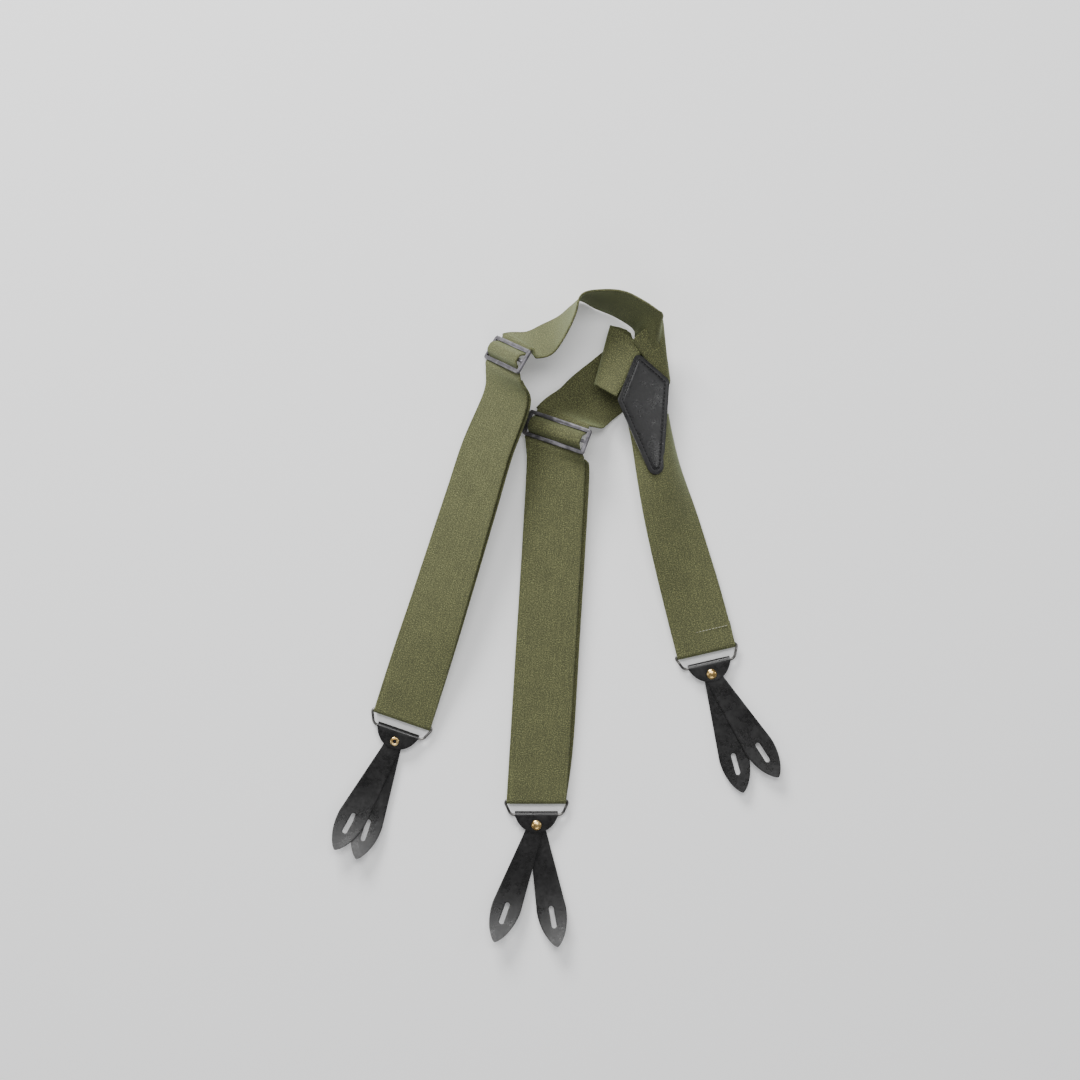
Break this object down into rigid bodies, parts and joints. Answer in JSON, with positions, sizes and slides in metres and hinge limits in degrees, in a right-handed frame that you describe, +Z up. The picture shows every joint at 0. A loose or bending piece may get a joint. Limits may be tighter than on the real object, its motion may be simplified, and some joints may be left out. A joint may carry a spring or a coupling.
{
  "type": "suspenders",
  "caption": "Button-on suspenders of wide olive elastic webbing with a black leather yoke, slide adjusters, wire loops and riveted leather buttonhole ears",
  "frame": {"origin": "middle of the bounding box's base, on the surface the suspenders lie on", "axes": "+Z up from the surface; +Y from the ears towards the shoulders, the longest extent"},
  "size_m": [0.3738, 0.5467, 0.0521],
  "materials": {
    "webbing": "olive elastic webbing, fine rib weave",
    "leather": "black smooth leather, satin",
    "gunmetal": "dark nickel plated steel, soft polish",
    "wire": "dark steel wire",
    "brass": "polished brass"
  },
  "bodies": {
    "yoke": {"yoke_patch": "leather", "yoke_backing": "leather", "left_shoulder_web": "webbing", "right_shoulder_web": "webbing", "back_web": "webbing"},
    "left_slide": {"left_slide": "gunmetal", "left_slide_web": "webbing", "left_front_web": "webbing", "left_return_web": "webbing"},
    "left_end": {"left_fold": "webbing"},
    "right_slide": {"right_slide": "gunmetal", "right_slide_web": "webbing", "right_front_web": "webbing", "right_return_web": "webbing"},
    "right_end": {"right_fold": "webbing"},
    "back_end": {"back_hem": "webbing"},
    "left_loop": {"left_loop": "wire"},
    "left_keeper": {"left_keeper": "leather", "left_rivet": "brass"},
    "left_ear_outer": {"left_ear_outer": "leather"},
    "left_ear_inner": {"left_ear_inner": "leather"},
    "right_loop": {"right_loop": "wire"},
    "right_keeper": {"right_keeper": "leather", "right_rivet": "brass"},
    "right_ear_outer": {"right_ear_outer": "leather"},
    "right_ear_inner": {"right_ear_inner": "leather"},
    "back_loop": {"back_loop": "wire"},
    "back_keeper": {"back_keeper": "leather", "back_rivet": "brass"},
    "back_ear_outer": {"back_ear_outer": "leather"},
    "back_ear_inner": {"back_ear_inner": "leather"}
  },
  "joints": [
    {"name": "left_adjust", "type": "slide", "parent": "yoke", "child": "left_slide", "axis": [-0.309, -0.9511, 0], "range_m": [0, 0.15], "deforming": ["left_shoulder_web", "left_front_web", "left_return_web"]},
    {"name": "left_feed", "type": "slide", "parent": "left_slide", "child": "left_end", "axis": [-0.309, -0.9511, 0], "range_m": [-0.075, 0]},
    {"name": "right_adjust", "type": "slide", "parent": "yoke", "child": "right_slide", "axis": [-0.0698, -0.9976, 0], "range_m": [0, 0.15], "deforming": ["right_shoulder_web", "right_front_web", "right_return_web"]},
    {"name": "right_feed", "type": "slide", "parent": "right_slide", "child": "right_end", "axis": [-0.0698, -0.9976, 0], "range_m": [-0.075, 0]},
    {"name": "back_stretch", "type": "slide", "parent": "yoke", "child": "back_end", "axis": [0.225, -0.9744, 0], "range_m": [0, 0.06], "stiffness_N_per_m": 150, "deforming": ["back_web"]},
    {"name": "left_loop_swing", "type": "hinge", "parent": "left_end", "child": "left_loop", "pos_m": [-0.13, -0.081, 0.005], "axis": [0.9455, -0.3256, 0], "range_deg": [-60, 60]},
    {"name": "left_keeper_swing", "type": "hinge", "parent": "left_loop", "child": "left_keeper", "pos_m": [-0.13404, -0.09272, 0.005], "axis": [0.9455, -0.3256, 0], "range_deg": [-60, 60]},
    {"name": "left_ear_outer_turn", "type": "hinge", "parent": "left_keeper", "child": "left_ear_outer", "pos_m": [-0.13674, -0.10057, 0.0059], "axis": [0, 0, 1], "range_deg": [-20, 20]},
    {"name": "left_ear_inner_turn", "type": "hinge", "parent": "left_keeper", "child": "left_ear_inner", "pos_m": [-0.13674, -0.10057, 0.0041], "axis": [0, 0, 1], "range_deg": [-20, 20]},
    {"name": "right_loop_swing", "type": "hinge", "parent": "right_end", "child": "right_loop", "pos_m": [-0.018, -0.15, 0.005], "axis": [1, 0, 0], "range_deg": [-60, 60]},
    {"name": "right_keeper_swing", "type": "hinge", "parent": "right_loop", "child": "right_keeper", "pos_m": [-0.018, -0.1624, 0.005], "axis": [1, 0, 0], "range_deg": [-60, 60]},
    {"name": "right_ear_outer_turn", "type": "hinge", "parent": "right_keeper", "child": "right_ear_outer", "pos_m": [-0.018, -0.1707, 0.0059], "axis": [0, 0, 1], "range_deg": [-20, 20]},
    {"name": "right_ear_inner_turn", "type": "hinge", "parent": "right_keeper", "child": "right_ear_inner", "pos_m": [-0.018, -0.1707, 0.0041], "axis": [0, 0, 1], "range_deg": [-20, 20]},
    {"name": "back_loop_swing", "type": "hinge", "parent": "back_end", "child": "back_loop", "pos_m": [0.124, -0.024, 0.005], "axis": [0.9744, 0.225, 0], "range_deg": [-60, 60]},
    {"name": "back_keeper_swing", "type": "hinge", "parent": "back_loop", "child": "back_keeper", "pos_m": [0.12679, -0.03608, 0.005], "axis": [0.9744, 0.225, 0], "range_deg": [-60, 60]},
    {"name": "back_ear_outer_turn", "type": "hinge", "parent": "back_keeper", "child": "back_ear_outer", "pos_m": [0.12866, -0.04417, 0.0059], "axis": [0, 0, 1], "range_deg": [-20, 20]},
    {"name": "back_ear_inner_turn", "type": "hinge", "parent": "back_keeper", "child": "back_ear_inner", "pos_m": [0.12866, -0.04417, 0.0041], "axis": [0, 0, 1], "range_deg": [-20, 20]}
  ],
  "couplings": [
    {"joint": "left_feed", "follows": "left_adjust", "ratio": -0.5},
    {"joint": "right_feed", "follows": "right_adjust", "ratio": -0.5}
  ]
}
